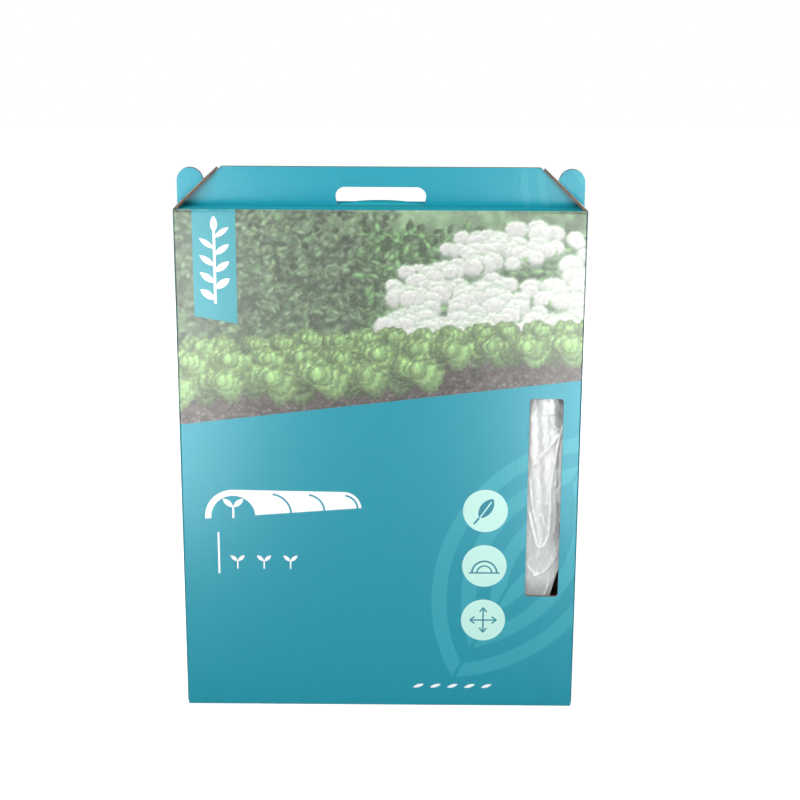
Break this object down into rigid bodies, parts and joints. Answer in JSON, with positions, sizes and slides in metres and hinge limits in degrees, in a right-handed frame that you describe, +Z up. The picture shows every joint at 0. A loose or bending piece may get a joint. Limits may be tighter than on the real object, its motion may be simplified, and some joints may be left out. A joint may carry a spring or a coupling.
{
  "type": "boxed row cover tunnel",
  "caption": "Slim corrugated carton with a locking carry handle and a side window, holding a folded garden row cover tunnel of wire hoops and polythene film.",
  "frame": {"origin": "middle of the carton's base, on the surface that it stands on", "axes": "+X to the right across the printed front, +Y from the front to the back, +Z up towards the handle"},
  "size_m": [0.475, 0.066, 0.664],
  "materials": {
    "printed_board": "teal print under a soft gloss varnish",
    "raw_board": "unprinted brown kraft",
    "zinc_wire": "galvanised, dull",
    "clear_film": "clear polythene film, milky where it is gathered"
  },
  "bodies": {
    "carton": {"front_panel": "printed_board", "rear_panel": "printed_board", "left_side_panel": "printed_board", "right_side_panel": "printed_board", "glue_flap": "raw_board", "bottom_front_flap": "printed_board", "bottom_rear_flap": "printed_board", "bottom_left_flap": "raw_board", "bottom_right_flap": "raw_board", "front_top_shelf": "printed_board", "rear_top_shelf": "printed_board", "front_handle_panel": "printed_board", "rear_handle_panel": "printed_board", "hoop_1": "zinc_wire", "hoop_2": "zinc_wire", "hoop_3": "zinc_wire", "hoop_4": "zinc_wire", "hoop_5": "zinc_wire", "hoop_6": "zinc_wire", "film_end_front": "clear_film", "film_bay_1": "clear_film", "film_bay_2": "clear_film", "film_bay_3": "clear_film", "film_bay_4": "clear_film", "film_bay_5": "clear_film", "film_end_rear": "clear_film"},
    "left_flap": {"left_lock_flap": "printed_board"},
    "right_flap": {"right_lock_flap": "printed_board"},
    "tongue": {"hand_hole_tongue": "printed_board"}
  },
  "joints": [
    {"name": "left_flap_crease", "type": "hinge", "parent": "carton", "child": "left_flap", "pos_m": [-0.23765, 0, 0.6192], "axis": [0, -1, 0], "range_deg": [0, 220]},
    {"name": "right_flap_crease", "type": "hinge", "parent": "carton", "child": "right_flap", "pos_m": [0.23765, 0, 0.6192], "axis": [0, 1, 0], "range_deg": [0, 220]},
    {"name": "tongue_crease", "type": "hinge", "parent": "carton", "child": "tongue", "pos_m": [0, -0.00015, 0.61915], "axis": [1, 0, 0], "range_deg": [0, 90]}
  ]
}
